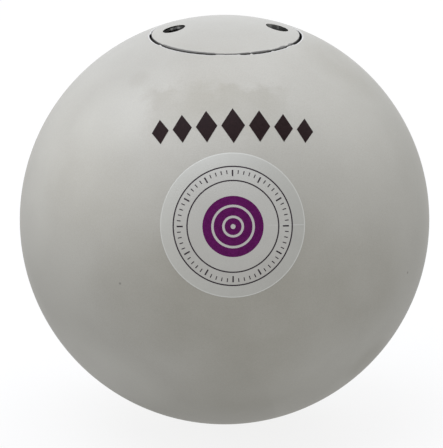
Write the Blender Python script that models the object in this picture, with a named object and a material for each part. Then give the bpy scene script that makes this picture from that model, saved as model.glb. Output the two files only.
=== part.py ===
"""A 7.26 kg shot put: a turned steel ball, bored for a lead core and closed by a screwed plug.

Metres, +Z up. The origin is the centre of the ball, +Z runs up the plug's axis and -Y is the front.
The plug is shown screwed home. It turns anticlockwise, seen from above, and rises as it turns.
"""

import math

import bmesh
import bpy

# The ball
BALL_DIAMETER = 0.120
BASE_WALL = 0.028  # steel left under the bore, on the axis

# The plug's head and the port that it closes
HEAD_DIAMETER = 0.043
HEAD_WALL = 0.006  # straight wall of the head, from the crown's rim down to the shoulder
SEAM_GAP = 0.0003  # between the head and the port, all round
SEAT_GAP = 0.0003  # between the shoulder and the floor of the port
EDGE_BREAK = 0.0003  # on both lips of the seam

# The seal in the plug's neck
SEAL_CORD = 0.0026
SEAL_GAP = 0.0003
NECK_DIAMETER = 0.0328
GLAND_TAPER = math.radians(15)

# The thread, held here by two plain walls at the middle of its flanks
THREAD_DIAMETER = 0.036
THREAD_PITCH = 0.002
THREAD_TURNS = 6
THREAD_CLEARANCE = 0.0003
THREAD_CHAMFER = 0.0008
FLANK_DEPTH = 0.325  # from the crest to the middle of the flanks, in pitches
RELIEF_DEPTH = 0.0003  # run-out groove below the thread, beyond its full diameter
RELIEF_LENGTH = 0.003

# The two holes for a pin spanner
SPANNER_PITCH_DIAMETER = 0.030
SPANNER_HOLE_DIAMETER = 0.0065
SPANNER_HOLE_DEPTH = 0.008  # on the hole's axis, below the crown
MOUTH_BREAK = 0.0004
SPANNER_ANGLE = math.radians(4)  # where the holes stand when the plug is tight, from +X

# The filling
BORE_DIAMETER = 0.034
BORE_FILLET = 0.002
FILLING_CLEARANCE = 0.0003  # round each piece of the filling
PACKING_GAP = 0.0003  # above and below each piece of the filling
CUSHION_THICKNESS = 0.003
TRIM_DISC_THICKNESS = 0.0012
TRIM_DISC_COUNT = 3
CORE_CHAMFER = 0.001

# The round label on the front
LABEL_DIAMETER = 0.042  # measured along the surface
LABEL_THICKNESS = 0.0002
LABEL_GAP = 0.0001
LABEL_ELEVATION = math.radians(14.9)
LABEL_TO_THE_RIGHT = math.radians(2.4)

# Facets
BALL_FACETS = 72
BALL_RINGS = 34
CROWN_RINGS = 6
FILLING_FACETS = 48
SEAL_FACETS = 60
SEAL_SECTION_FACETS = 10
HOLE_FACETS = 24
LABEL_FACETS = 48
LABEL_RINGS = 5
FILLET_STEPS = 4
SMOOTH_BELOW = math.radians(25)

# Sizes that follow from those above
BALL_RADIUS = BALL_DIAMETER / 2
HEAD_RADIUS = HEAD_DIAMETER / 2
PORT_RADIUS = HEAD_RADIUS + SEAM_GAP
NECK_RADIUS = NECK_DIAMETER / 2
SEAL_SECTION_RADIUS = SEAL_CORD / 2
SEAL_RING_RADIUS = NECK_RADIUS + SEAL_GAP + SEAL_SECTION_RADIUS
FLANK_RADIUS = THREAD_DIAMETER / 2 - FLANK_DEPTH * THREAD_PITCH
PLUG_THREAD_RADIUS = FLANK_RADIUS - THREAD_CLEARANCE / 2
PORT_THREAD_RADIUS = FLANK_RADIUS + THREAD_CLEARANCE / 2
RELIEF_RADIUS = THREAD_DIAMETER / 2 + RELIEF_DEPTH
SPANNER_PITCH_RADIUS = SPANNER_PITCH_DIAMETER / 2
SPANNER_HOLE_RADIUS = SPANNER_HOLE_DIAMETER / 2
BORE_RADIUS = BORE_DIAMETER / 2
FILLING_RADIUS = BORE_RADIUS - FILLING_CLEARANCE


def crown_height(radius):
    """Height of the ball's surface at this distance from the axis."""
    return math.sqrt(BALL_RADIUS**2 - radius**2)


# Heights on the axis, from the top down
SEAT = crown_height(HEAD_RADIUS) - HEAD_WALL
PORT_FLOOR = SEAT - SEAT_GAP
SEAL_HEIGHT = SEAT - SEAL_GAP - SEAL_SECTION_RADIUS
GLAND_FLOOR = SEAL_HEIGHT - SEAL_SECTION_RADIUS - SEAL_GAP
PLUG_END = GLAND_FLOOR - THREAD_TURNS * THREAD_PITCH
RELIEF_TOP = PLUG_END + THREAD_PITCH / 2
RELIEF_BOTTOM = RELIEF_TOP - RELIEF_LENGTH
BORE_FLOOR = BASE_WALL - BALL_RADIUS


def clear_scene():
    for old in list(bpy.data.objects):
        bpy.data.objects.remove(old, do_unlink=True)


def finish(name, colour, metallic, roughness):
    """A Principled material of one colour."""
    material = bpy.data.materials.new(name)
    material.use_nodes = True
    shader = material.node_tree.nodes["Principled BSDF"]
    shader.inputs["Base Color"].default_value = (*colour, 1)
    shader.inputs["Metallic"].default_value = metallic
    shader.inputs["Roughness"].default_value = roughness
    return material


def satin_steel(name):
    return finish(name, (0.60, 0.60, 0.58), 1, 0.36)


def lead(name):
    return finish(name, (0.24, 0.25, 0.27), 1, 0.55)


def black_rubber(name):
    return finish(name, (0.03, 0.03, 0.032), 0, 0.6)


def silver_film(name):
    return finish(name, (0.52, 0.52, 0.53), 0.4, 0.4)


def arc(radius, height, size, start, end, steps):
    """Profile points round (radius, height). The angle runs from +Z towards the outside."""
    angles = [start + (end - start) * step / steps for step in range(steps + 1)]
    return [(radius + size * math.sin(a), height + size * math.cos(a)) for a in angles]


def surface_angle(radius):
    """Angle from +Z, at the ball's centre, of the surface at this distance from the axis."""
    return math.asin(radius / BALL_RADIUS)


def turned(name, profile, facets, base, material, closed=False):
    """A piece turned about Z from (radius, height) points. Its origin is on the axis, at base."""
    shape = bmesh.new()
    points = [shape.verts.new((radius, 0, height - base)) for radius, height in profile]
    ends = zip(points, points[1:] + points[:1] if closed else points[1:])
    edges = [shape.edges.new(pair) for pair in ends]
    bmesh.ops.spin(
        shape, geom=points + edges, cent=(0, 0, 0), axis=(0, 0, 1),
        angle=2 * math.pi, steps=facets, use_merge=True,
    )
    bmesh.ops.remove_doubles(shape, verts=shape.verts, dist=1e-6)
    bmesh.ops.recalc_face_normals(shape, faces=shape.faces)
    mesh = bpy.data.meshes.new(name)
    shape.to_mesh(mesh)
    shape.free()
    mesh.materials.append(material)
    mesh.shade_smooth()
    mesh.set_sharp_from_angle(angle=SMOOTH_BELOW)
    piece = bpy.data.objects.new(name, mesh)
    piece.location.z = base
    bpy.context.scene.collection.objects.link(piece)
    return piece


def carry(piece, carrier):
    """Parents a piece that was placed in world coordinates, and leaves it where it is."""
    piece.parent = carrier
    piece.location -= carrier.location


# The ball

def gland_radius(height):
    """Wall of the tapered seal gland at this height."""
    at_seal = SEAL_RING_RADIUS + (SEAL_SECTION_RADIUS + SEAL_GAP) / math.cos(GLAND_TAPER)
    return at_seal + (height - SEAL_HEIGHT) * math.tan(GLAND_TAPER)


def make_shell():
    lip = PORT_RADIUS + EDGE_BREAK
    outside = arc(0, 0, BALL_RADIUS, surface_angle(lip), math.pi, BALL_RINGS)
    port = [
        (PORT_RADIUS, crown_height(PORT_RADIUS) - EDGE_BREAK),
        (PORT_RADIUS, PORT_FLOOR),
        (gland_radius(PORT_FLOOR), PORT_FLOOR),
        (gland_radius(GLAND_FLOOR), GLAND_FLOOR),
        (PORT_THREAD_RADIUS + THREAD_CHAMFER, GLAND_FLOOR),
        (PORT_THREAD_RADIUS, GLAND_FLOOR - THREAD_CHAMFER),
        (PORT_THREAD_RADIUS, RELIEF_TOP),
        (RELIEF_RADIUS, RELIEF_TOP),
        (RELIEF_RADIUS, RELIEF_BOTTOM),
        (BORE_RADIUS, RELIEF_BOTTOM),
    ]
    corner = arc(
        BORE_RADIUS - BORE_FILLET, BORE_FLOOR + BORE_FILLET, BORE_FILLET,
        math.pi / 2, math.pi, FILLET_STEPS,
    )
    profile = outside[::-1] + port + corner + [(0, BORE_FLOOR)]
    return turned("shell", profile, BALL_FACETS, 0, satin_steel("shell_steel"))


# The plug and its seal

def make_plug():
    rim = HEAD_RADIUS - EDGE_BREAK
    crown = arc(0, 0, BALL_RADIUS, 0, surface_angle(rim), CROWN_RINGS)
    body = [
        (HEAD_RADIUS, crown_height(HEAD_RADIUS) - EDGE_BREAK),
        (HEAD_RADIUS, SEAT + EDGE_BREAK),
        (HEAD_RADIUS - EDGE_BREAK, SEAT),
        (NECK_RADIUS, SEAT),
        (NECK_RADIUS, GLAND_FLOOR),
        (PLUG_THREAD_RADIUS, GLAND_FLOOR - THREAD_CHAMFER),
        (PLUG_THREAD_RADIUS, PLUG_END + THREAD_CHAMFER),
        (PLUG_THREAD_RADIUS - THREAD_CHAMFER, PLUG_END),
        (0, PLUG_END),
    ]
    return turned("closure_plug", crown + body, BALL_FACETS, SEAT, satin_steel("plug_steel"))


def cut(piece, cutter):
    """Cuts the cutter's shape out of the piece and keeps the cutter out of the model."""
    boolean = piece.modifiers.new(cutter.name, "BOOLEAN")
    boolean.operation = "DIFFERENCE"
    boolean.solver = "EXACT"
    boolean.object = cutter
    cutter.hide_render = True
    cutter.display_type = "WIRE"


def make_spanner_cutters(number, angle):
    """A hole along the plug's axis, and the cone that breaks its mouth square to the crown."""
    mouth = crown_height(SPANNER_PITCH_RADIUS)
    x = SPANNER_PITCH_RADIUS * math.cos(angle)
    y = SPANNER_PITCH_RADIUS * math.sin(angle)
    top = mouth + SPANNER_HOLE_RADIUS
    floor = mouth - SPANNER_HOLE_DEPTH
    straight = [(0, top), (SPANNER_HOLE_RADIUS, top), (SPANNER_HOLE_RADIUS, floor), (0, floor)]
    guide = finish(f"cutter_{number}", (0.8, 0.2, 0.1), 0, 0.5)
    hole = turned(f"spanner_hole_{number}", straight, HOLE_FACETS, mouth, guide)
    above = 2 * MOUTH_BREAK
    flare = SPANNER_HOLE_RADIUS + MOUTH_BREAK
    cone = [(0, above), (flare + above, above), (flare - 2 * above, -2 * above), (0, -2 * above)]
    lip = turned(f"spanner_mouth_{number}", cone, HOLE_FACETS, 0, guide)
    hole.location = (x, y, mouth)
    lip.location = (x, y, mouth)
    lip.rotation_euler = (0, surface_angle(SPANNER_PITCH_RADIUS), angle)
    return hole, lip


def make_seal():
    section = arc(
        SEAL_RING_RADIUS, SEAL_HEIGHT, SEAL_SECTION_RADIUS, 0, 2 * math.pi, SEAL_SECTION_FACETS
    )
    rubber = black_rubber("seal_rubber")
    return turned("sealing_ring", section[:-1], SEAL_FACETS, SEAT, rubber, closed=True)


def make_closure():
    """The plug, its spanner holes and its seal, carried by an empty on the thread's axis."""
    axis = bpy.data.objects.new("thread_axis", None)
    axis.location.z = SEAT
    axis.empty_display_size = HEAD_RADIUS
    bpy.context.scene.collection.objects.link(axis)
    plug = make_plug()
    carry(plug, axis)
    carry(make_seal(), axis)
    for number in (1, 2):
        for cutter in make_spanner_cutters(number, SPANNER_ANGLE + number * math.pi):
            carry(cutter, axis)
            cut(plug, cutter)


# The filling

def disc(name, low, high, corner, material):
    """A flat disc or slug that fits the bore, its two edges broken by a chamfer."""
    profile = [
        (0, high),
        (FILLING_RADIUS - corner, high),
        (FILLING_RADIUS, high - corner),
        (FILLING_RADIUS, low + corner),
        (FILLING_RADIUS - corner, low),
        (0, low),
    ]
    return turned(name, profile, FILLING_FACETS, low, material)


def make_lower_cushion():
    """Its lower edge is rounded to lie in the fillet of the bore."""
    low = BORE_FLOOR + PACKING_GAP
    high = low + CUSHION_THICKNESS
    corner = arc(
        BORE_RADIUS - BORE_FILLET, BORE_FLOOR + BORE_FILLET, BORE_FILLET - PACKING_GAP,
        math.pi / 2, math.pi, FILLET_STEPS,
    )
    profile = [(0, high), (FILLING_RADIUS, high)] + corner + [(0, low)]
    turned("lower_cushion", profile, FILLING_FACETS, low, black_rubber("lower_cushion_rubber"))
    return high


def make_filling():
    """From the plug down: a cushion, the trim discs, the core, and a cushion under it."""
    high = PLUG_END - PACKING_GAP
    low = high - CUSHION_THICKNESS
    disc("upper_cushion", low, high, EDGE_BREAK, black_rubber("upper_cushion_rubber"))
    for number in range(1, TRIM_DISC_COUNT + 1):
        high = low - PACKING_GAP
        low = high - TRIM_DISC_THICKNESS
        name = f"trim_disc_{number}"
        disc(name, low, high, EDGE_BREAK, lead(f"{name}_lead"))
    core_top = low - PACKING_GAP
    core_bottom = make_lower_cushion() + PACKING_GAP
    disc("ballast_core", core_bottom, core_top, CORE_CHAMFER, lead("core_lead"))


# The label

def make_label():
    """A thin round film bent to the ball, turned about its own middle and swung to the front."""
    half_angle = LABEL_DIAMETER / 2 / BALL_RADIUS
    inside = BALL_RADIUS + LABEL_GAP
    outer = arc(0, 0, inside + LABEL_THICKNESS, 0, half_angle, LABEL_RINGS)
    inner = arc(0, 0, inside, half_angle, 0, LABEL_RINGS)
    label = turned("round_label", outer + inner, LABEL_FACETS, 0, silver_film("label_film"))
    label.rotation_euler = (math.pi / 2 - LABEL_ELEVATION, 0, LABEL_TO_THE_RIGHT)
    return label


def main():
    clear_scene()
    make_shell()
    make_closure()
    make_filling()
    make_label()


main()
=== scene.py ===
"""The looks of a steel shot put: satin ball, screwed plug with its thread, seal, filling and round label.

Metres, +Z up the plug's axis, the front is -Y and the origin is the centre of the ball, as in the CAD.
"""

import math

import bmesh
import bpy
from mathutils import Matrix, Vector


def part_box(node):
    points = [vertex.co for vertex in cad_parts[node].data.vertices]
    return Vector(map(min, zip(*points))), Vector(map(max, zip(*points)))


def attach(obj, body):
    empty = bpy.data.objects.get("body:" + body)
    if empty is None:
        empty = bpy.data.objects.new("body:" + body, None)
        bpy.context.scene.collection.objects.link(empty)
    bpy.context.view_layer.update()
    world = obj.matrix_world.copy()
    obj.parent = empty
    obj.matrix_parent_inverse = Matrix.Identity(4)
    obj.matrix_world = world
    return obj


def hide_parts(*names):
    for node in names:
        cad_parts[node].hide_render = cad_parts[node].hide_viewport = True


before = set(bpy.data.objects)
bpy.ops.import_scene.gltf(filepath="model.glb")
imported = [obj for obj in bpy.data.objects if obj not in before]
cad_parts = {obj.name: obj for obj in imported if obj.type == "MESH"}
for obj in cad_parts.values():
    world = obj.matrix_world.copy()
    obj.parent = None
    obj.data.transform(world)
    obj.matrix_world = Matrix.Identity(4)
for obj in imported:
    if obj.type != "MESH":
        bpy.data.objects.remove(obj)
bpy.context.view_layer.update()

# Sizes of the CAD model
BALL_RADIUS = -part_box("shell")[0].z
HEAD_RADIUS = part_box("closure_plug")[1].x
PLUG_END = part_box("closure_plug")[0].z
HEAD_WALL = 0.006
SEAM_GAP = 0.0003
SEAT_GAP = 0.0003
NECK_RADIUS = 0.0164
SEAL_SECTION = 0.0013
SEAL_GAP = 0.0003
GLAND_TAPER = math.radians(15)
RELIEF_RADIUS = 0.0183
RELIEF_LENGTH = 0.003
BORE_RADIUS = 0.017
BORE_FLOOR = 0.028 - BALL_RADIUS  # 28 mm above the ball's lowest point
BORE_FILLET = 0.002
SPANNER_CIRCLE = 0.015
SPANNER_HOLE = 0.00325
SPANNER_DEPTH = 0.008
SPANNER_ANGLE = math.radians(4)
LABEL_REACH = 0.021
LABEL_ELEVATION = math.radians(14.9)
LABEL_TO_THE_RIGHT = math.radians(2.4)

# The thread: M36 x 2, right hand
PITCH = 0.002
THREAD_CREST = 0.018
THREAD_DEPTH = 0.0010825
THREAD_PLAY = 0.0001
THREAD_CHAMFER = 0.0008
CREST_SHARE = 1 / 16  # half of the crest's flat, in pitches
ROOT_SHARE = 1 / 8

# The photograph: 443 x 448 pixels, the ball's outline in it, and the camera that took it
PHOTO = (443, 448)
BALL_PIXEL = (224.55, 219.57)
BALL_PIXEL_RADIUS = 204.8
CAMERA_ELEVATION = math.radians(16.5)
CAMERA_DISTANCE = 30 * BALL_RADIUS
CAMERA_ROLL = math.radians(0.3)
SENSOR = 36  # millimetres

# Meshes: columns round an axis and rows along an outline
COLUMNS = 320  # of the ball and of the plug
FRONT_CROWDING = 0.45  # how much closer those columns stand at the front
BALL_ROWS = 110
CROWN_ROWS = 44
HOLE_COLUMNS = 72
SEAL_COLUMNS = 144
SEAL_ROWS = 28
DISC_COLUMNS = 96
FILM_COLUMNS = 180
FILM_ROWS = 26
SHARP_ANGLE = math.radians(30)
TINY = 1e-9  # what counts as nothing
SATIN, LIP, TURNED, THREAD, DRILLED = range(5)  # material slots of the ball and of the plug

# The studio: light from all round, the floor's bounce, and how much of its shadow the eye sees
AMBIENT = 0.27
FLOOR_BOUNCE = 0.6
FLOOR_HALF = 6  # metres
SHADOW_SHARE = 0.17
SHADOW_REACH = (0.15, 0.6)  # from the ball, in metres, over which the floor turns plain white to the eye


def crown_height(radius):
    """Height of the ball's surface at this distance from the axis."""
    return math.sqrt(max(BALL_RADIUS**2 - radius**2, 0))


SEAT = crown_height(HEAD_RADIUS) - HEAD_WALL
SEAL_RADIUS = NECK_RADIUS + SEAL_GAP + SEAL_SECTION
SEAL_HEIGHT = SEAT - SEAL_GAP - SEAL_SECTION
GLAND_FLOOR = SEAL_HEIGHT - SEAL_SECTION - SEAL_GAP

# The camera's own directions
VIEW = Vector((0, -math.cos(CAMERA_ELEVATION), math.sin(CAMERA_ELEVATION)))
RIGHT = Matrix.Rotation(CAMERA_ROLL, 3, VIEW) @ Vector((1, 0, 0))
UP = VIEW.cross(RIGHT)
FOCAL_PIXELS = BALL_PIXEL_RADIUS * math.sqrt((CAMERA_DISTANCE / BALL_RADIUS) ** 2 - 1)

# From the pole to the label's place
LABEL_DROP = math.pi / 2 - LABEL_ELEVATION
LABEL_TURN = Matrix.Rotation(LABEL_TO_THE_RIGHT, 4, "Z") @ Matrix.Rotation(LABEL_DROP, 4, "X")


def on_ball(x, y):
    """The direction, from the ball's centre, of what the photograph shows at this pixel."""
    across = (x - BALL_PIXEL[0]) / FOCAL_PIXELS
    above = (BALL_PIXEL[1] - y) / FOCAL_PIXELS
    ray = (RIGHT * across + UP * above - VIEW).normalized()
    start = VIEW * CAMERA_DISTANCE
    half = start.dot(ray)
    reach = -half - math.sqrt(half**2 - start.length_squared + BALL_RADIUS**2)
    return (start + ray * reach).normalized()


# Mesh helpers

def arc(radius, height, size, start, end, steps):
    """Outline points round (radius, height). The angle runs from +Z towards the outside."""
    angles = [start + (end - start) * step / steps for step in range(steps + 1)]
    return [(radius + size * math.sin(a), height + size * math.cos(a)) for a in angles]


def surface_angle(radius):
    return math.asin(radius / BALL_RADIUS)


def thread_radius(phase, crest):
    """Radius of the thread at a phase in pitches, 0 at the middle of a crest."""
    away = abs((phase + 0.5) % 1 - 0.5)
    flank = 0.5 - CREST_SHARE - ROOT_SHARE
    return crest - THREAD_DEPTH * min(max((away - CREST_SHARE) / flank, 0), 1)


def add_object(name, data):
    """A new object of the scene."""
    made = bpy.data.objects.new(name, data)
    bpy.context.scene.collection.objects.link(made)
    return made


class Turned:
    """Collects a turned outline, with a helical thread where one is asked for, as one closed mesh."""

    def __init__(self, columns=COLUMNS, crowding=0):
        self.columns = columns
        self.crowding = crowding
        self.points = []
        self.faces = []
        self.slots = []
        self.last = None

    def angle(self, column):
        turn = 2 * math.pi * column / self.columns
        return turn - self.crowding * math.cos(turn)

    def ring(self, radius, height):
        """A ring of points. The radius and the height are numbers, or functions of the angle."""
        if not callable(radius) and radius < TINY:
            self.points.append((0, 0, height))
            return [len(self.points) - 1] * self.columns
        first = len(self.points)
        for column in range(self.columns):
            angle = self.angle(column)
            r = radius(angle) if callable(radius) else radius
            z = height(angle) if callable(height) else height
            self.points.append((r * math.cos(angle), r * math.sin(angle), z))
        return list(range(first, first + self.columns))

    def face(self, corners, slot):
        kept = [c for i, c in enumerate(corners) if c != corners[i - 1]]
        if len(kept) > 2:
            self.faces.append(kept)
            self.slots.append(slot)

    def join(self, upper, lower, slot):
        for column in range(self.columns):
            after = (column + 1) % self.columns
            self.face([upper[column], upper[after], lower[after], lower[column]], slot)

    def outline(self, points, slot=0):
        """Goes on from the last ring through these (radius, height) points."""
        for radius, height in points:
            ring = self.ring(radius, height)
            if self.last:
                self.join(self.last, ring, slot)
            self.last = ring

    def thread(self, end_radius, low, crest, slot):
        """A right-hand helix from the last ring down to a ring of end_radius at low."""
        start_radius = math.hypot(*self.points[self.last[0]][:2])
        high = self.points[self.last[0]][2]
        lower = self.ring(end_radius, low)
        shares = (-CREST_SHARE, CREST_SHARE, 0.25, 0.5 - ROOT_SHARE, 0.5 + ROOT_SHARE, 0.75)
        first = math.floor(low / PITCH) - 1
        turns = math.ceil(high / PITCH) + 2 - first
        rows = [first + turn + share for turn in range(turns) for share in shares]
        made = {}

        def corner(row, column):
            if column == self.columns:
                row, column = row + len(shares), 0
            phase = rows[row]
            angle = self.angle(column)
            height = (phase + angle / (2 * math.pi)) * PITCH
            if height <= low:
                return lower[column]
            if height >= high:
                return self.last[column]
            if (row, column) not in made:
                into = min((height - low) / PITCH, 1) * min((high - height) / PITCH, 1)
                plain = end_radius if height - low < high - height else start_radius
                radius = plain + (thread_radius(phase, crest) - plain) * min(2 * into, 1)
                self.points.append((radius * math.cos(angle), radius * math.sin(angle), height))
                made[row, column] = len(self.points) - 1
            return made[row, column]

        for row in range(len(rows) - len(shares) - 1):
            for column in range(self.columns):
                corners = [corner(row + 1, column), corner(row + 1, column + 1)]
                corners += [corner(row, column + 1), corner(row, column)]
                if corners[0] == corners[3] and corners[1] == corners[2]:
                    continue
                self.face(corners, slot)
        self.last = lower

    def make(self, name, materials):
        mesh = bpy.data.meshes.new(name)
        mesh.from_pydata(self.points, [], self.faces)
        for material in materials:
            mesh.materials.append(material)
        mesh.polygons.foreach_set("material_index", self.slots)
        return as_piece(name, mesh)


def as_piece(name, mesh):
    """An object of this mesh, its faces turned outwards and shaded smooth but for sharp edges."""
    work = bmesh.new()
    work.from_mesh(mesh)
    bmesh.ops.recalc_face_normals(work, faces=work.faces)
    work.to_mesh(mesh)
    work.free()
    mesh.shade_smooth()
    mesh.set_sharp_from_angle(angle=SHARP_ANGLE)
    return add_object(name, mesh)


def apply_modifiers(piece):
    """Bakes the modifiers into the mesh."""
    graph = bpy.context.evaluated_depsgraph_get()
    mesh = bpy.data.meshes.new_from_object(piece.evaluated_get(graph))
    piece.modifiers.clear()
    piece.data = mesh


# Materials

def feed(tree, socket, value):
    """Gives a socket its value: a constant, or another node's output."""
    if isinstance(value, bpy.types.NodeSocket):
        tree.links.new(value, socket)
    else:
        socket.default_value = value


def add_node(tree, kind, inputs=(), **settings):
    """A new node with these settings, and with its inputs given by name or number."""
    made = tree.nodes.new(kind)
    for key, value in settings.items():
        setattr(made, key, value)
    for key, value in dict(inputs).items():
        feed(tree, made.inputs[key], value)
    return made


class Shader:
    """A Principled material and short ways to add nodes to it."""

    def __init__(self, name, colour, metallic, roughness, **values):
        self.material = bpy.data.materials.new(name)
        self.material.use_nodes = True
        self.tree = self.material.node_tree
        self.shader = self.tree.nodes["Principled BSDF"]
        self.set("Base Color", (*colour, 1))
        self.set("Metallic", metallic)
        self.set("Roughness", roughness)
        for key, value in values.items():
            self.set(key.replace("_", " "), value)
        self.place = self.node("ShaderNodeTexCoord").outputs["Object"]

    def set(self, socket, value):
        feed(self.tree, self.shader.inputs[socket], value)

    def node(self, kind, inputs=(), **settings):
        return add_node(self.tree, kind, inputs, **settings)

    def noise(self, scale, detail, roughness):
        values = {"Vector": self.place, "Scale": scale, "Detail": detail, "Roughness": roughness}
        return self.node("ShaderNodeTexNoise", values).outputs["Fac"]

    def math(self, operation, *values):
        return self.node("ShaderNodeMath", enumerate(values), operation=operation).outputs[0]

    def spread(self, value, low, high, to_low, to_high):
        """The value mapped from one range to another, and clamped."""
        inputs = {"Value": value, "From Min": low, "From Max": high, "To Min": to_low, "To Max": to_high}
        return self.node("ShaderNodeMapRange", inputs).outputs[0]

    def ramp(self, value, low, high):
        """0 where the value is low or less, and 1 where it is high or more."""
        return self.spread(value, low, high, 0, 1)

    def vary(self, noise, low, high):
        """A noise spread over this range."""
        return self.spread(noise, 0.3, 0.7, low, high)

    def blend(self, share, first, second):
        """A colour between two others, which are constants or outputs."""
        ends = [end if isinstance(end, bpy.types.NodeSocket) else (*end, 1) for end in (first, second)]
        return self.node("ShaderNodeMix", {0: share, 6: ends[0], 7: ends[1]}, data_type="RGBA").outputs[2]

    def near(self, point, inner, outer):
        """1 at the point and fading to 0 between the two distances."""
        gap = self.node("ShaderNodeVectorMath", {0: self.place, 1: point}, operation="DISTANCE")
        return self.spread(gap.outputs["Value"], inner, outer, 1, 0)

    def along(self, direction):
        """The place's distance along a direction."""
        dot = self.node("ShaderNodeVectorMath", {0: self.place, 1: direction}, operation="DOT_PRODUCT")
        return dot.outputs["Value"]

    def reach(self):
        """The place's distance from the ball's centre."""
        return self.node("ShaderNodeVectorMath", {0: self.place}, operation="LENGTH").outputs["Value"]

    def bump(self, height, strength, distance):
        inputs = {"Height": height, "Strength": strength, "Distance": distance}
        self.set("Normal", self.node("ShaderNodeBump", inputs).outputs[0])


# Tones of the blasted steel
STEEL = (0.376, 0.369, 0.341)
STEEL_PALE = (0.391, 0.384, 0.356)
# The dull tone gives the painted shade and the smeared band, and the bright tone gives the painted highlights
STEEL_SHADE_AND_SMEAR = (0.290, 0.280, 0.244)
STEEL_PAINTED_LIGHT = (0.46, 0.454, 0.425)
SPECK_COLOUR = (0.20, 0.19, 0.18)
# Painted reflection and shade on the front, and a few dull handling marks near its top: pixel of the
# photograph, size in metres, and share, which is below 0 for duller and above 0 for paler
PAINTED_LIGHT_AND_SMUDGES = (
    (252, 300, 0.034, -0.52), (150, 293, 0.022, -0.33), (366, 284, 0.021, -0.36), (238, 390, 0.020, -0.24),
    (336, 181, 0.020, 0.12), (92, 364, 0.018, 0.45), (124, 382, 0.017, 0.52), (30, 222, 0.016, 0.30),
    (367, 361, 0.010, -0.30), (212, 72, 0.016, -0.18), (205, 97, 0.012, -0.28), (110, 120, 0.016, 0.48),
    (139, 79, 0.0042, -0.20), (342, 60, 0.018, -0.35), (84, 188, 0.021, -0.20), (56, 262, 0.020, 0.18),
)
PATCH_CORE = 0.45  # how much of a patch's size is at full strength
SPECKS = ((120, 283.5), (407.6, 272.6))  # pixels of the photograph
SPECK_SIZE = (0.0001, 0.0005)  # from the middle, where a speck begins to fade and where it ends
# The smeared band above the mark: its share of the dark tone, and a paler notch in it, by its pixel of the
# photograph, its size and its share of the band
BAND_SHARE = 0.46
NOTCH = (182, 95)
NOTCH_SIZE = (0.0010, 0.0042)
NOTCH_SHARE = 0.45
# The band's borders, in ball radii from the ball's middle as the camera sees it: between the first two
# numbers it changes from the third to the fourth
BAND_UPWARD = ((0.605, 0.655, 1, 0), (0.36, 0.56, 0.12, 1), (0.22, 0.36, 0, 1))
BAND_ACROSS = ((-0.40, -0.33, 0, 1), (0.20, 0.32, 1, 0))
RAGGED_UPWARD = 0.045  # how far the noise shifts a border
RAGGED_ACROSS = 0.03


def with_painted_light_and_smudges(steel, colour, clouds):
    """The colour with the front's painted reflection and shade and its handling marks, whose strength the
    noise varies.
    """
    uneven = steel.vary(clouds, 1.2, 0.8)
    for x, y, size, share in PAINTED_LIGHT_AND_SMUDGES:
        patch = steel.near(on_ball(x, y) * BALL_RADIUS, size * PATCH_CORE, size)
        patch = steel.math("MULTIPLY", steel.math("MULTIPLY", patch, uneven), abs(share))
        # a duller patch is painted shade or a handling mark, and a paler patch is a painted reflection
        colour = steel.blend(patch, colour, STEEL_SHADE_AND_SMEAR if share < 0 else STEEL_PAINTED_LIGHT)
    return colour


def with_band(steel, colour, wiped):
    """The colour with the smeared band on the front, whose borders the noise makes ragged."""
    shift = steel.vary(wiped, -RAGGED_ACROSS, RAGGED_ACROSS)
    across = steel.math("ADD", steel.along(RIGHT / BALL_RADIUS), shift)
    shift = steel.vary(wiped, -RAGGED_UPWARD, RAGGED_UPWARD)
    upward = steel.math("ADD", steel.along(UP / BALL_RADIUS), shift)
    front = steel.ramp(steel.along(VIEW / BALL_RADIUS), 0, 0.2)
    notch = steel.near(on_ball(*NOTCH) * BALL_RADIUS, *NOTCH_SIZE)
    band = steel.math("MULTIPLY", front, steel.spread(notch, 0, 1, BAND_SHARE, BAND_SHARE * NOTCH_SHARE))
    for place, borders in ((upward, BAND_UPWARD), (across, BAND_ACROSS)):
        for border in borders:
            band = steel.math("MULTIPLY", band, steel.spread(place, *border))
    return steel.blend(band, colour, STEEL_SHADE_AND_SMEAR)


def satin_steel(name):
    """Fine blasted stainless steel, with patches of painted reflection and shade, a smeared band on the front
    and two specks.
    """
    steel = Shader(name, STEEL, metallic=1, roughness=0.6, Specular_Tint=(0.68, 0.68, 0.68, 1))
    clouds = steel.noise(scale=55, detail=4, roughness=0.55)
    grain = steel.noise(scale=2600, detail=2, roughness=0.6)
    wiped = steel.noise(scale=170, detail=4, roughness=0.6)
    colour = steel.blend(steel.ramp(clouds, 0.35, 0.65), STEEL, STEEL_PALE)
    colour = with_painted_light_and_smudges(steel, colour, clouds)
    colour = with_band(steel, colour, wiped)
    for x, y in SPECKS:
        speck = steel.near(on_ball(x, y) * BALL_RADIUS, *SPECK_SIZE)
        colour = steel.blend(speck, colour, SPECK_COLOUR)
    steel.set("Base Color", colour)
    steel.set("Roughness", steel.vary(grain, 0.56, 0.64))
    steel.bump(steel.math("ADD", grain, steel.math("MULTIPLY", wiped, 0.3)), strength=0.12, distance=0.00006)
    return steel.material


def edge_steel(name, colour, roughness):
    """Plain metal at a broken edge, a thread, a slit or the film's cut, a little unevenly worn."""
    steel = Shader(name, colour, metallic=1, roughness=roughness)
    worn = steel.noise(scale=900, detail=3, roughness=0.6)
    steel.set("Roughness", steel.vary(worn, roughness - 0.06, roughness + 0.1))
    steel.bump(worn, strength=0.1, distance=0.00005)
    return steel.material


# Below the ball's surface: where the seam's painted shade is full and where it ends, and how ragged its end
# is
SEAM_SHADE_FULL = 0.0016
SEAM_SHADE_ENDS = 0.0034
SEAM_SHADE_RAGGED = 0.0006


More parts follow.
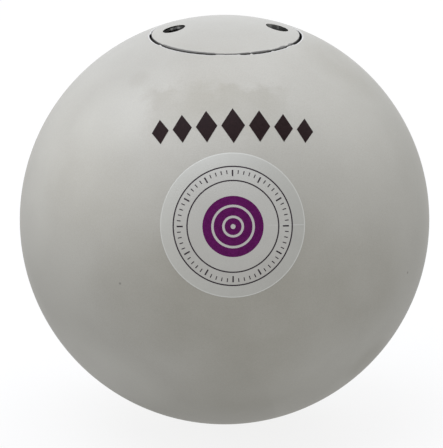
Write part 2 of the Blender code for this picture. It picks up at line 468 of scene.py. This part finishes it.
def machined_steel(name):
    """Turned steel with fine tool marks, stained a little, and painted dark as shade where it meets the seam.
    """
    steel = Shader(name, (0.3, 0.3, 0.29), metallic=1, roughness=0.45)
    height = steel.node("ShaderNodeSeparateXYZ", {"Vector": steel.place}).outputs["Z"]
    inputs = {"W": height, "Scale": 5200, "Detail": 2}
    grooves = steel.node("ShaderNodeTexNoise", inputs, noise_dimensions="1D").outputs["Fac"]
    stain = steel.noise(scale=240, detail=4, roughness=0.6)
    clean, stained, seam_shade_tone = (0.33, 0.328, 0.315), (0.20, 0.196, 0.185), (0.075, 0.072, 0.068)
    colour = steel.blend(steel.ramp(stain, 0.35, 0.75), clean, stained)
    edge = steel.math("ADD", steel.reach(), steel.spread(stain, 0.2, 0.8, -SEAM_SHADE_RAGGED, SEAM_SHADE_RAGGED))
    # painted shade: the wall is darkened within a few millimetres of the ball's surface, inside the seam's
    # gap
    seam_shade = steel.ramp(edge, BALL_RADIUS - SEAM_SHADE_ENDS, BALL_RADIUS - SEAM_SHADE_FULL)
    steel.set("Base Color", steel.blend(seam_shade, colour, seam_shade_tone))
    rougher = steel.math("MULTIPLY", seam_shade, 0.12)
    steel.set("Roughness", steel.math("ADD", steel.vary(grooves, 0.36, 0.5), rougher))
    steel.bump(grooves, strength=0.2, distance=0.00006)
    return steel.material


# The painted glint, a reflection painted on the wall of a spanner hole: the depths over which it begins and
# ends, how ragged it is, and the distances to the right of the left hole's middle over which it fades
GLINT_START = (0.0004, 0.0006)
GLINT_END = (0.0009, 0.0013)
GLINT_RAGGED = 0.00012
GLINT_FADE = (0.0002, 0.0024)
GLINT_FAINTEST = 0.15
LEFT_HOLE_REACH = (0.008, 0.012)  # from its middle, over which the left hole's tones give way to the right's


def drilled_steel(name):
    """The wall of a spanner hole, painted dark as the hole's shade, with a painted glint a little below the
    mouth.

    The left hole is painted darker than the right one, with a brighter glint.
    """
    steel = Shader(name, (0.1, 0.1, 0.1), metallic=1, roughness=0.5)
    stain = steel.noise(scale=900, detail=3, roughness=0.6)
    depth = steel.math("SUBTRACT", BALL_RADIUS, steel.reach())
    depth = steel.math("ADD", depth, steel.vary(stain, -GLINT_RAGGED, GLINT_RAGGED))
    inward = steel.ramp(depth, *GLINT_START)
    outward = steel.spread(depth, *GLINT_END, 1, 0)
    across = steel.math("ADD", steel.along((1, 0, 0)), SPANNER_CIRCLE)
    fading = steel.spread(across, *GLINT_FADE, 1, GLINT_FAINTEST)
    painted_glint = steel.math("MULTIPLY", steel.math("MULTIPLY", inward, outward), fading)
    left = steel.near((-SPANNER_CIRCLE, 0, BALL_RADIUS), *LEFT_HOLE_REACH)
    # painted shade: dark walls, the left one almost black; painted glint: the paler ring below the mouth
    right_wall_shade, left_wall_shade = (0.16, 0.16, 0.155), (0.014, 0.014, 0.014)
    right_glint, left_glint = (0.26, 0.26, 0.25), (0.36, 0.36, 0.35)
    wall = steel.blend(left, right_wall_shade, left_wall_shade)
    ring = steel.blend(left, right_glint, left_glint)
    steel.set("Base Color", steel.blend(painted_glint, wall, ring))
    steel.set("Roughness", steel.vary(stain, 0.42, 0.6))
    steel.bump(stain, strength=0.2, distance=0.00005)
    return steel.material


def lead(name):
    """Cast lead: dull, blue-grey and oxidised in patches."""
    metal = Shader(name, (0.2, 0.21, 0.23), metallic=1, roughness=0.55)
    patches = metal.noise(scale=160, detail=5, roughness=0.62)
    grain = metal.noise(scale=1800, detail=3, roughness=0.6)
    oxidised, bare = (0.13, 0.135, 0.145), (0.30, 0.31, 0.33)
    metal.set("Base Color", metal.blend(metal.ramp(patches, 0.38, 0.66), oxidised, bare))
    metal.set("Roughness", metal.vary(patches, 0.45, 0.7))
    metal.bump(metal.math("ADD", grain, patches), strength=0.3, distance=0.0002)
    return metal.material


def black_rubber(name):
    """Moulded nitrile rubber with a faint bloom."""
    rubber = Shader(name, (0.02, 0.02, 0.021), metallic=0, roughness=0.55)
    bloom = rubber.noise(scale=420, detail=4, roughness=0.6)
    black, bloomed = (0.014, 0.014, 0.015), (0.045, 0.045, 0.044)
    rubber.set("Base Color", rubber.blend(rubber.ramp(bloom, 0.4, 0.75), black, bloomed))
    rubber.set("Roughness", rubber.vary(bloom, 0.45, 0.68))
    rubber.bump(bloom, strength=0.2, distance=0.00008)
    return rubber.material


PLAIN_REACH = (0.0168, 0.0172)  # from the label's middle, over which its plain part gives way to its border


def silver_film(name):
    """Metallised label film, a little paler than the steel, with painted light and shade: paler upwards and
    at its border's left.
    """
    film = Shader(name, (0.41, 0.41, 0.41), metallic=1, roughness=0.5, Specular_Tint=(0.6, 0.6, 0.6, 1))
    drift = film.noise(scale=55, detail=2, roughness=0.5)
    ripple = film.noise(scale=320, detail=3, roughness=0.55)
    middle = LABEL_TURN.to_3x3() @ Vector((0, 0, BALL_RADIUS))

    def over_label(direction):
        """0 at the label's side that this direction comes from, rising to 1 at the other side."""
        away = film.math("SUBTRACT", film.along(direction), middle.dot(direction))
        return film.ramp(away, -LABEL_REACH, LABEL_REACH)

    # painted light and shade: the film is paler towards its top and darker towards its bottom
    rise = film.math("ADD", over_label(UP), film.vary(drift, -0.2, 0.2))
    below, above = (0.394, 0.387, 0.366), (0.438, 0.438, 0.421)
    # painted light and shade on the border: paler at the left and darker at the right
    at_left, at_right = (0.450, 0.454, 0.427), (0.358, 0.360, 0.338)
    plain = film.blend(film.ramp(rise, 0, 1), below, above)
    border = film.blend(0.5, plain, film.blend(over_label(RIGHT), at_left, at_right))
    film.set("Base Color", film.blend(film.near(middle, *PLAIN_REACH), border, plain))
    film.set("Roughness", film.vary(ripple, 0.46, 0.56))
    film.bump(ripple, strength=0.06, distance=0.0001)
    return film.material


def ink(name, colour, roughness=0.4):
    """Printed ink, a little uneven."""
    paint = Shader(name, colour, metallic=0, roughness=roughness, Specular_IOR_Level=0.1)
    thin = paint.noise(scale=900, detail=3, roughness=0.6)
    lighter = tuple(min(c * 1.35 + 0.004, 1) for c in colour)
    paint.set("Base Color", paint.blend(paint.ramp(thin, 0.35, 0.75), colour, lighter))
    paint.set("Roughness", paint.vary(thin, roughness - 0.06, roughness + 0.08))
    paint.bump(thin, strength=0.1, distance=0.00003)
    return paint.material


# The ball

# The worn seam, at angles from +X in degrees: in millimetres, how far the port stands off the plug, almost
# closed where burrs of the port lean over it, and the radius of the plug's broken edge
SEAM_WIDTH = (
    (-180, 0.62), (-151.4, 0.62), (-150.2, 0.54), (-149.2, 0.14), (-148.6, 0.14), (-147.2, 0.50),
    (-140, 0.62), (-118, 0.66), (-100, 0.62), (-98, 0.54), (-96.6, 0.23), (-79.8, 0.23), (-77.5, 0.56),
    (-71.6, 0.62), (-70.6, 0.14), (-70, 0.14), (-69, 0.66), (-62, 0.68), (-53.6, 0.60), (-52.3, 0.28),
    (-51.7, 0.28), (-50.2, 0.52), (-42, 0.48), (-36.8, 0.46), (-35, 0.22), (-32.4, 0.22), (-30.6, 0.34),
    (-27, 0.36), (-25.2, 0.66), (6, 0.74), (14, 0.58), (22, 0.30), (28, 0.22), (150, 0.20), (168, 0.26),
    (170.5, 0.40), (173, 0.10), (176, 0.10), (178.5, 0.62), (180, 0.62),
)
EDGE_RADIUS = (
    (-180, 0.10), (-157, 0.10), (-152, 0.20), (-150.6, 0.20), (-149.4, 0.06), (-148.4, 0.06), (-145.3, 0.36),
    (-99, 0.34), (-97, 0.07), (-80, 0.07), (-77, 0.30), (-71.8, 0.32), (-70.6, 0.10), (-70, 0.10),
    (-68.8, 0.38), (-60, 0.44), (-57, 0.36), (-54, 0.42), (-52.4, 0.16), (-51.6, 0.16), (-49, 0.30),
    (-44, 0.28), (-41, 0.60), (-37.5, 0.55), (-34.8, 0.18), (-32.4, 0.20), (-30, 0.56), (-27.2, 0.46),
    (-24.5, 0.12), (0, 0.10), (180, 0.10),
)
RAGGED_WAVES = ((53, 0.022), (97, 0.014), (151, 0.010))  # waves in a turn, and their height in millimetres
NARROWEST_SEAM = 0.00006
SHARPEST_EDGE = 0.00005
PORT_LIP = 0.0002  # radius of the port's broken edge
# Rings of the ball's surface: the first two by their distance from the even port, the last from its rim
RIM_OUTER = 0.0028
RIM_INNER = 0.0016
RIM_WORN = 0.0004
# The port's wall follows its worn rim down to the first share of the head's height, and is even below the
# second
WALL_WORN = 0.75
WALL_EVEN = 0.3
PORT_CORNER = 0.0002  # break of the turned corners inside the ball


def along_seam(places, angle):
    """The value at this angle in metres, eased from one named place to the next."""
    degrees = math.degrees(math.atan2(math.sin(angle), math.cos(angle)))
    for (a, value_a), (b, value_b) in zip(places, places[1:]):
        if a <= degrees <= b:
            share = (degrees - a) / (b - a)
            return (value_a + (value_b - value_a) * share * share * (3 - 2 * share)) / 1000
    return places[0][1] / 1000


def ragged(angle, shift):
    """A small unevenness along the front of the seam, in metres. The shift moves its waves."""
    front = max(0, -math.sin(angle))
    return front * sum(size * math.sin(waves * angle + shift * waves) for waves, size in RAGGED_WAVES) / 1000


def port_rim(angle):
    return HEAD_RADIUS + max(along_seam(SEAM_WIDTH, angle) + ragged(angle, 1), NARROWEST_SEAM)


def plug_edge_radius(angle):
    return max(along_seam(EDGE_RADIUS, angle) + ragged(angle, 2), SHARPEST_EDGE)


def lip_rings(rim, size, side, steps=4):
    """Rings round a lip of varying radius, for Turned: side is 1 on the plug's edge and -1 in the port."""
    def middle(angle):
        return rim(angle) - side * size(angle)

    def ring(turn):
        return (
            lambda angle: middle(angle) + side * size(angle) * math.sin(turn),
            lambda angle: crown_height(middle(angle)) - size(angle) * (1 - math.cos(turn)),
        )

    return [ring(math.pi / 2 * step / steps) for step in range(steps + 1)]


def gland_radius(height):
    at_seal = SEAL_RADIUS + (SEAL_SECTION + SEAL_GAP) / math.cos(GLAND_TAPER)
    return at_seal + (height - SEAL_HEIGHT) * math.tan(GLAND_TAPER)


def make_ball():
    """The ball, its outline drawn from the lowest point over the port and its thread to the bore's floor."""
    port = HEAD_RADIUS + SEAM_GAP
    floor = SEAT - SEAT_GAP
    gland = gland_radius(floor)
    relief_top = PLUG_END + PITCH / 2
    relief_bottom = relief_top - RELIEF_LENGTH
    inner = THREAD_CREST - THREAD_DEPTH
    ball = Turned(crowding=FRONT_CROWDING)
    surface = arc(0, 0, BALL_RADIUS, math.pi, surface_angle(port + RIM_OUTER), BALL_ROWS)
    ball.outline([(0, -BALL_RADIUS)] + surface[1:], SATIN)
    ball.outline([(port + RIM_INNER, crown_height(port + RIM_INNER))], SATIN)

    def worn(angle):
        return port_rim(angle) + RIM_WORN

    ball.outline([(worn, lambda angle: crown_height(worn(angle)))], SATIN)
    ball.outline(lip_rings(port_rim, lambda angle: PORT_LIP, -1), LIP)
    ball.outline([(port_rim, floor + HEAD_WALL * WALL_WORN), (port, floor + HEAD_WALL * WALL_EVEN)], TURNED)
    ball.outline([(port, floor), (gland + PORT_CORNER, floor), (gland, floor - PORT_CORNER)], TURNED)
    ball.outline([(gland_radius(GLAND_FLOOR), GLAND_FLOOR), (inner + THREAD_CHAMFER, GLAND_FLOOR)], TURNED)
    ball.outline([(inner, GLAND_FLOOR - THREAD_CHAMFER)], TURNED)
    ball.thread(inner, relief_top, THREAD_CREST, TURNED)
    ball.outline([(RELIEF_RADIUS, relief_top - PORT_CORNER), (RELIEF_RADIUS, relief_bottom)], TURNED)
    ball.outline([(BORE_RADIUS + PORT_CORNER, relief_bottom)], TURNED)
    ball.outline([(BORE_RADIUS, relief_bottom - PORT_CORNER)], TURNED)
    fillet = arc(BORE_RADIUS - BORE_FILLET, BORE_FLOOR + BORE_FILLET, BORE_FILLET, math.pi / 2, math.pi, 6)
    ball.outline(fillet + [(0, BORE_FLOOR)], TURNED)
    lip = edge_steel("port_lip", (0.42, 0.418, 0.405), roughness=0.55)
    materials = [satin_steel("ball_satin_steel"), lip, machined_steel("port_steel")]
    piece = ball.make("steel_ball", materials)
    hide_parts("shell")
    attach(piece, "ball")


# The plug

CROWN_RIM = 0.0012  # from the head's edge to the crown's last even ring
PLUG_CORNER = 0.00025  # break of the plug's turned corners
DRILL_CORNER = 0.0002  # break of the corner at a spanner hole's floor
HOLE_LIP = 0.00016  # radius of a spanner hole's rounded mouth
HOLE_SINK = 0.0001  # how much lower that rounding lies than the crown at the hole's middle
# A face belongs to a hole up to this far outside its wall, and from this far below the crown
HOLE_MARGIN = 0.0006
CROWN_MARGIN = 0.00001
# It keeps the satin where it faces up by more than this and lies less than this below the hole's mouth
LIP_FACING = 0.2
LIP_LOWEST = 0.0016


def spanner_cutter(angle):
    """The drilled hole with its rounded lip, square to the crown at its mouth."""
    mouth = crown_height(SPANNER_CIRCLE)
    place = Vector((SPANNER_CIRCLE * math.cos(angle), SPANNER_CIRCLE * math.sin(angle), mouth))
    hole = Turned(HOLE_COLUMNS)
    hole.outline([(0, SPANNER_HOLE), (SPANNER_HOLE, SPANNER_HOLE)])
    hole.outline([(SPANNER_HOLE, DRILL_CORNER - SPANNER_DEPTH)])
    hole.outline([(SPANNER_HOLE - DRILL_CORNER, -SPANNER_DEPTH), (0, -SPANNER_DEPTH)])
    drilled = hole.make("drilled_hole", [])
    drilled.matrix_world = Matrix.Translation(place)
    flare = SPANNER_HOLE + HOLE_LIP
    rounding = arc(flare, -HOLE_LIP, HOLE_LIP, 0, -math.pi / 2, 5)
    cone = Turned(HOLE_COLUMNS)
    cone.outline([(0, HOLE_LIP), (flare + HOLE_LIP, HOLE_LIP)] + [(r, z - HOLE_SINK) for r, z in rounding])
    cone.outline([(SPANNER_HOLE - HOLE_LIP, -3 * HOLE_LIP), (0, -3 * HOLE_LIP)])
    mouth_cut = cone.make("hole_mouth", [])
    lean = Matrix.Rotation(angle, 4, "Z") @ Matrix.Rotation(surface_angle(SPANNER_CIRCLE), 4, "Y")
    mouth_cut.matrix_world = Matrix.Translation(place) @ lean
    return [drilled, mouth_cut]


def in_a_hole(centre, angle):
    """Whether a point of the plug lies on the lip, the wall or the floor of the hole at this angle."""
    across = centre.x - SPANNER_CIRCLE * math.cos(angle)
    along = centre.y - SPANNER_CIRCLE * math.sin(angle)
    below_crown = centre.length < BALL_RADIUS - CROWN_MARGIN
    return below_crown and math.hypot(across, along) < SPANNER_HOLE + HOLE_MARGIN


def drill_holes(piece):
    """Cuts the two spanner holes and gives their walls and floors a material of their own."""
    angles = (SPANNER_ANGLE, SPANNER_ANGLE + math.pi)
    cutters = [cutter for angle in angles for cutter in spanner_cutter(angle)]
    for cutter in cutters:
        boolean = piece.modifiers.new(cutter.name, "BOOLEAN")
        boolean.operation = "DIFFERENCE"
        boolean.solver = "EXACT"
        boolean.object = cutter
    apply_modifiers(piece)
    for cutter in cutters:
        bpy.data.objects.remove(cutter)
    lowest = crown_height(SPANNER_CIRCLE) - LIP_LOWEST
    for face in piece.data.polygons:
        if any(in_a_hole(face.center, angle) for angle in angles):
            flat_lip = face.normal.z > LIP_FACING and face.center.z > lowest
            face.material_index = SATIN if flat_lip else DRILLED
    piece.data.set_sharp_from_angle(angle=SHARP_ANGLE)


def make_plug():
    """The plug, its outline drawn from the crown's middle over its edge, neck and thread to its end."""
    crest = THREAD_CREST - THREAD_PLAY
    inner = crest - THREAD_DEPTH
    plug = Turned(crowding=FRONT_CROWDING)
    plug.outline(arc(0, 0, BALL_RADIUS, 0, surface_angle(HEAD_RADIUS - CROWN_RIM), CROWN_ROWS), SATIN)
    edge = lip_rings(lambda angle: HEAD_RADIUS, plug_edge_radius, 1)
    plug.outline(edge[:1], SATIN)
    plug.outline(edge[1:], LIP)
    plug.outline([(HEAD_RADIUS, SEAT + HEAD_WALL * WALL_WORN), (HEAD_RADIUS, SEAT + PLUG_CORNER)], TURNED)
    plug.outline([(HEAD_RADIUS - PLUG_CORNER, SEAT), (NECK_RADIUS + PLUG_CORNER, SEAT)], TURNED)
    plug.outline([(NECK_RADIUS, SEAT - PLUG_CORNER), (NECK_RADIUS, GLAND_FLOOR)], TURNED)
    plug.outline([(inner, GLAND_FLOOR - THREAD_CHAMFER / 2)], TURNED)
    plug.thread(inner, PLUG_END + THREAD_CHAMFER, crest, THREAD)
    plug.outline([(inner - THREAD_CHAMFER, PLUG_END), (0, PLUG_END)], TURNED)
    # painted shade: the plug's rounded edge is dark, so it deepens the seam's dark line
    painted_edge_shade = edge_steel("plug_edge", (0.15, 0.148, 0.142), roughness=0.5)
    thread_tone = edge_steel("thread_steel", (0.46, 0.46, 0.45), roughness=0.36)
    materials = [satin_steel("plug_satin_steel"), painted_edge_shade, machined_steel("plug_wall_steel"), thread_tone]
    piece = plug.make("steel_plug", materials + [drilled_steel("drilled_steel")])
    drill_holes(piece)
    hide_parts("closure_plug")
    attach(piece, "plug")


# The seal and the filling

DISC_MIDDLE = 0.6  # share of a disc's radius where the inner ring of its faces stands


def make_seal():
    section = arc(SEAL_RADIUS, SEAL_HEIGHT, SEAL_SECTION, 0, 2 * math.pi, SEAL_ROWS)
    seal = Turned(SEAL_COLUMNS)
    seal.outline(section[:-1])
    seal.join(seal.last, range(seal.columns), 0)
    piece = seal.make("rubber_seal", [black_rubber("seal_rubber")])
    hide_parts("sealing_ring")
    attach(piece, "seal")


def make_disc(name, node, material, edge):
    """A flat round piece of the filling, with rounded edges, in the place of its CAD node."""
    low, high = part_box(node)
    radius = high.x
    disc = Turned(DISC_COLUMNS)
    disc.outline([(0, high.z), (radius * DISC_MIDDLE, high.z)])
    disc.outline(arc(radius - edge, high.z - edge, edge, 0, math.pi / 2, 4))
    disc.outline(arc(radius - edge, low.z + edge, edge, math.pi / 2, math.pi, 4))
    disc.outline([(radius * DISC_MIDDLE, low.z), (0, low.z)])
    piece = disc.make(name, [material])
    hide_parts(node)
    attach(piece, "ball")


def make_filling():
    rubber = black_rubber("packing_rubber")
    metal = lead("filling_lead")
    make_disc("packing_upper", "upper_cushion", rubber, edge=0.0004)
    make_disc("packing_lower", "lower_cushion", rubber, edge=0.0014)
    for number in (1, 2, 3):
        make_disc(f"lead_disc_{number}", f"trim_disc_{number}", metal, edge=0.0003)
    make_disc("lead_core", "ballast_core", metal, edge=0.001)


# The label and the printed ornament

# Heights above the ball's surface
FILM_BOTTOM = 0.00003
FILM_TOP = 0.00014
PRINT_TOP = 0.000165
SLIT_TOP = FILM_TOP + 0.00001
PRINT_BOTTOM = FILM_TOP - 0.00001
MARK_BOTTOM = 0.00001
MARK_TOP = 0.00005
FILM_EDGE = 0.00004  # break of the film's cut edge
FILM_BORDER = 0.0003  # width of the border that has the cut edge's tone
INK_DARK = (0.040, 0.030, 0.038)
INK_PURPLE = (0.124, 0.006, 0.104)
INK_MAROON = (0.013, 0.004, 0.0045)
# The label's prints: radii and ends are measured along the surface from a print's middle, and each print's
# middle lies a little lower than the film's
WHOLE = (0, 2 * math.pi)  # the angles of a ring that goes all the way round
RINGS = {"label_ring_outer": (0.0171, 0.0002), "label_ring_inner": (0.0131, 0.0003)}  # radius, how much lower
RING_LINE = 0.00038
RING_COLUMNS = 180
TICKS = 60
LONG_EVERY = 5
LONG_TICK = (0.0143, 0.00022)  # its inner end, and half its width at the radius of TICK_MIDDLE
SHORT_TICK = (0.0150, 0.00014)
TICK_MIDDLE = 0.0155
TICK_END = 0.0161
TICKS_LOWER = 0.00025
BULLSEYE = ((0.0007, 0.0024, 48), (0.0031, 0.0055, 80), (0.0062, 0.0087, 120))  # inner, outer, columns
BULLSEYE_LOWER = 0.0003
TAMPER_SLIT = (0.0098, 0.0206, -0.005, 0.005, 1)  # inner and outer end, first and last angle, columns
PRINT_CELL = 0.0012  # about the width of a print's cells
# The row of lozenges: its middle in the photograph, the middle lozenge's half width and half height, the gap
# between two, and the sizes of the others in shares of the middle one
MARK_PIXEL = (233.2, 125.3)
LOZENGE_HALF_WIDTH = 0.0034
LOZENGE_HALF_HEIGHT = 0.0056
LOZENGE_GAP = 0.0011
LOZENGE_SHARES = (0.9, 0.8, 0.7)
LOZENGE_CELLS = 8


def place_on_label(piece, lower=0):
    """Moves the piece from the pole to the label's place, or lower by this distance."""
    piece.data.transform(LABEL_TURN @ Matrix.Rotation(lower / BALL_RADIUS, 4, "X"))
    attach(piece, "ball")
    return piece


def make_film():
    """The label's film, with the tone of its cut edge on the border and underneath."""
    half = LABEL_REACH / BALL_RADIUS
    border = half - FILM_BORDER / BALL_RADIUS
    top = BALL_RADIUS + FILM_TOP
    film = Turned(FILM_COLUMNS)
    film.outline(arc(0, 0, top, 0, border, FILM_ROWS), 0)
    film.outline(arc(0, 0, top, border, half - FILM_EDGE / BALL_RADIUS, 1)[1:], 1)
    film.outline(arc(0, 0, top - FILM_EDGE, half, half, 1)[:1], 1)
    film.outline(arc(0, 0, BALL_RADIUS + FILM_BOTTOM, half, 0, FILM_ROWS), 1)
    edge_silver = edge_steel("label_cut_edge", (0.50, 0.505, 0.485), roughness=0.5)
    piece = place_on_label(film.make("label_film", [silver_film("label_silver"), edge_silver]))
    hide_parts("round_label")


def add_sheet(points, faces, grid, bottom, top, whole=False):
    """Adds a thin closed solid over rows of directions. Where it is whole, the last row joins the first."""
    first = len(points)
    rows, width = len(grid), len(grid[0])
    for size in (BALL_RADIUS + top, BALL_RADIUS + bottom):
        points += [(size * x, size * y, size * z) for row in grid for x, y, z in row]

    def add(*corners):
        faces.append([first + (side * rows + row % rows) * width + column for side, row, column in corners])

    for row in range(rows if whole else rows - 1):
        after = row + 1
        for column in range(width - 1):
            beside = column + 1
            for side in (0, 1):
                add((side, row, column), (side, row, beside), (side, after, beside), (side, after, column))
        for column in (0, width - 1):
            add((0, row, column), (0, after, column), (1, after, column), (1, row, column))
    ends = () if whole else (0, rows - 1)
    for row in ends:
        for column in range(width - 1):
            beside = column + 1
            add((0, row, column), (0, row, beside), (1, row, beside), (1, row, column))


def ring_grid(inner, outer, start, end, steps):
    """Directions round the pole, over a ring or a stretch of one, and whether it goes all the way round."""
    whole = abs(end - start - 2 * math.pi) < TINY
    across = max(1, round((outer - inner) / PRINT_CELL))
    polars = [(inner + (outer - inner) * step / across) / BALL_RADIUS for step in range(across + 1)]
    turns = [start + (end - start) * step / steps for step in range(steps if whole else steps + 1)]

    def direction(polar, turn):
        return math.sin(polar) * math.cos(turn), math.sin(polar) * math.sin(turn), math.cos(polar)

    return [[direction(polar, turn) for polar in polars] for turn in turns], whole


def printed_piece(name, material, points, faces):
    mesh = bpy.data.meshes.new(name)
    mesh.from_pydata(points, [], faces)
    mesh.materials.append(material)
    return as_piece(name, mesh)


def make_print(name, material, stretches, lower=0, top=PRINT_TOP):
    """A print of ring stretches: (inner, outer, start, end, steps) each."""
    points, faces = [], []
    for stretch in stretches:
        grid, whole = ring_grid(*stretch)
        add_sheet(points, faces, grid, PRINT_BOTTOM, top, whole)
    place_on_label(printed_piece(name, material, points, faces), lower)


def make_label_prints():
    dark = ink("label_dark_ink", INK_DARK)
    purple = ink("label_purple_ink", INK_PURPLE)
    for name, (radius, lower) in RINGS.items():
        line = (radius - RING_LINE / 2, radius + RING_LINE / 2, *WHOLE, RING_COLUMNS)
        make_print(name, dark, [line], lower)
    ticks = []
    for number in range(TICKS):
        middle = 2 * math.pi * number / TICKS
        inner_end, half_width = SHORT_TICK if number % LONG_EVERY else LONG_TICK
        half = half_width / TICK_MIDDLE
        ticks.append((inner_end, TICK_END, middle - half, middle + half, 1))
    make_print("label_ticks", dark, ticks, TICKS_LOWER)
    rings = [(inner, outer, *WHOLE, columns) for inner, outer, columns in BULLSEYE]
    make_print("label_bullseye", purple, rings, BULLSEYE_LOWER)
    silver = edge_steel("label_slit", (0.48, 0.485, 0.475), roughness=0.5)
    make_print("label_tamper_slit", silver, [TAMPER_SLIT], top=SLIT_TOP)


def make_front_mark():
    """A row of seven plain lozenges, pad printed on the front in the place of lettering."""
    middle = on_ball(*MARK_PIXEL)
    across = Vector((0, 0, 1)).cross(middle).normalized()
    upward = middle.cross(across)
    centres = [(0, 1)]
    edge = LOZENGE_HALF_WIDTH
    for share in LOZENGE_SHARES:
        middle_of_next = edge + LOZENGE_GAP + LOZENGE_HALF_WIDTH * share
        centres += [(middle_of_next, share), (-middle_of_next, share)]
        edge = middle_of_next + LOZENGE_HALF_WIDTH * share

    def direction(u, v):
        return (middle * math.sqrt(BALL_RADIUS**2 - u * u - v * v) + across * u + upward * v).normalized()

    points, faces = [], []
    spots = [2 * cell / LOZENGE_CELLS - 1 for cell in range(LOZENGE_CELLS + 1)]
    for centre, share in centres:
        wide, tall = LOZENGE_HALF_WIDTH * share, LOZENGE_HALF_HEIGHT * share
        grid = [[direction(centre + wide * (a + b) / 2, tall * (a - b) / 2) for b in spots] for a in spots]
        add_sheet(points, faces, grid, MARK_BOTTOM, MARK_TOP)
    piece = printed_piece("front_lozenges", ink("front_maroon_ink", INK_MAROON), points, faces)
    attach(piece, "ball")


# The studio

def seen_directly(tree):
    """1 for rays of the camera and of reflections and refractions, 0 for the light that falls on things."""
    path = add_node(tree, "ShaderNodeLightPath").outputs
    total = path["Is Camera Ray"]
    for name in ("Is Glossy Ray", "Is Transmission Ray"):
        total = add_node(tree, "ShaderNodeMath", {0: total, 1: path[name]}, operation="MAXIMUM").outputs[0]
    return total


def floor_material():
    """White to the eye but for a share of the shadow near the ball, and duller as a source of light."""
    material = bpy.data.materials.new("pale_floor")
    material.use_nodes = True
    tree = material.node_tree
    tree.nodes.clear()
    lit = add_node(tree, "ShaderNodeBsdfDiffuse", {"Color": (FLOOR_BOUNCE, FLOOR_BOUNCE, FLOOR_BOUNCE, 1)})
    shadowed = add_node(tree, "ShaderNodeBsdfDiffuse", {"Color": (1, 1, 1, 1)})
    white = add_node(tree, "ShaderNodeEmission", {"Strength": 1})
    place = add_node(tree, "ShaderNodeTexCoord").outputs["Object"]
    away = add_node(tree, "ShaderNodeVectorMath", {0: place}, operation="LENGTH").outputs["Value"]
    fade = {"From Min": SHADOW_REACH[0], "From Max": SHADOW_REACH[1], "To Min": SHADOW_SHARE, "To Max": 0}
    share = add_node(tree, "ShaderNodeMapRange", {"Value": away, **fade}).outputs[0]
    parts = {"Fac": share, 1: white.outputs[0], 2: shadowed.outputs[0]}
    surface = add_node(tree, "ShaderNodeMixShader", parts).outputs[0]
    parts = {"Fac": seen_directly(tree), 1: lit.outputs[0], 2: surface}
    choice = add_node(tree, "ShaderNodeMixShader", parts).outputs[0]
    add_node(tree, "ShaderNodeOutputMaterial", {"Surface": choice})
    return material


def make_floor():
    """A plain pale floor that the ball rests on. It looks white and keeps the ball's shadow."""
    mesh = bpy.data.meshes.new("floor")
    signs = ((-1, -1), (1, -1), (1, 1), (-1, 1))
    corners = [(x * FLOOR_HALF, y * FLOOR_HALF, -BALL_RADIUS) for x, y in signs]
    mesh.from_pydata(corners, [], [(0, 1, 2, 3)])
    mesh.materials.append(floor_material())
    add_object("floor", mesh)


def make_world():
    """Soft light from all round, and plain white where it is seen or reflected."""
    world = bpy.data.worlds.new("studio")
    bpy.context.scene.world = world
    world.use_nodes = True
    tree = world.node_tree
    levels = {"Value": seen_directly(tree), "To Min": AMBIENT, "To Max": 1}
    background = tree.nodes["Background"]
    feed(tree, background.inputs["Color"], (1, 1, 1, 1))
    feed(tree, background.inputs["Strength"], add_node(tree, "ShaderNodeMapRange", levels).outputs[0])


# Soft lamps that look at the ball: azimuth from +X and elevation in degrees, width and height in metres,
# power in watts, and colour
LAMP_DISTANCE = 2.4
LAMPS = {
    "overhead_softbox": (184, 76, 2.6, 2.6, 39.0, (0.872, 0.898, 1)),
    "left_softbox": (196, 18, 1.8, 1.4, 8.5, (0.94, 0.95, 1)),
    "back_left_softbox": (148, 14, 2.4, 1.1, 14.0, (0.92, 0.94, 1)),
    "back_softbox": (93, 22, 2.6, 1.6, 22.0, (0.86, 0.895, 1)),
    "right_softbox": (32, 42, 2.6, 2.6, 19.5, (0.91, 0.935, 1)),
}


def make_lamps():
    for name, (azimuth, elevation, width, height, power, colour) in LAMPS.items():
        data = bpy.data.lights.new(name, "AREA")
        data.shape = "RECTANGLE"
        data.size = width
        data.size_y = height
        data.energy = power
        data.color = colour
        lamp = add_object(name, data)
        turn, rise = math.radians(azimuth), math.radians(elevation)
        toward = Vector((math.cos(rise) * math.cos(turn), math.cos(rise) * math.sin(turn), math.sin(rise)))
        lamp.location = toward * LAMP_DISTANCE
        lamp.rotation_mode = "QUATERNION"
        lamp.rotation_quaternion = toward.to_track_quat("Z", "Y")


def make_camera():
    data = bpy.data.cameras.new("camera")
    data.sensor_width = SENSOR
    data.lens = FOCAL_PIXELS * SENSOR / max(PHOTO)
    camera = add_object("camera", data)
    camera.location = VIEW * CAMERA_DISTANCE
    aim_right = (PHOTO[0] / 2 - BALL_PIXEL[0]) / FOCAL_PIXELS
    aim_up = (BALL_PIXEL[1] - PHOTO[1] / 2) / FOCAL_PIXELS
    forward = (RIGHT * aim_right + UP * aim_up - VIEW).normalized()
    across = forward.cross(UP).normalized()
    camera.rotation_mode = "QUATERNION"
    axes = Matrix((across, across.cross(forward), -forward)).transposed()
    camera.rotation_quaternion = axes.to_quaternion()
    bpy.context.scene.camera = camera


make_ball()
make_plug()
make_seal()
make_filling()
make_film()
make_label_prints()
make_front_mark()
make_floor()
make_world()
make_lamps()
make_camera()
bpy.context.scene.view_settings.view_transform = "Standard"
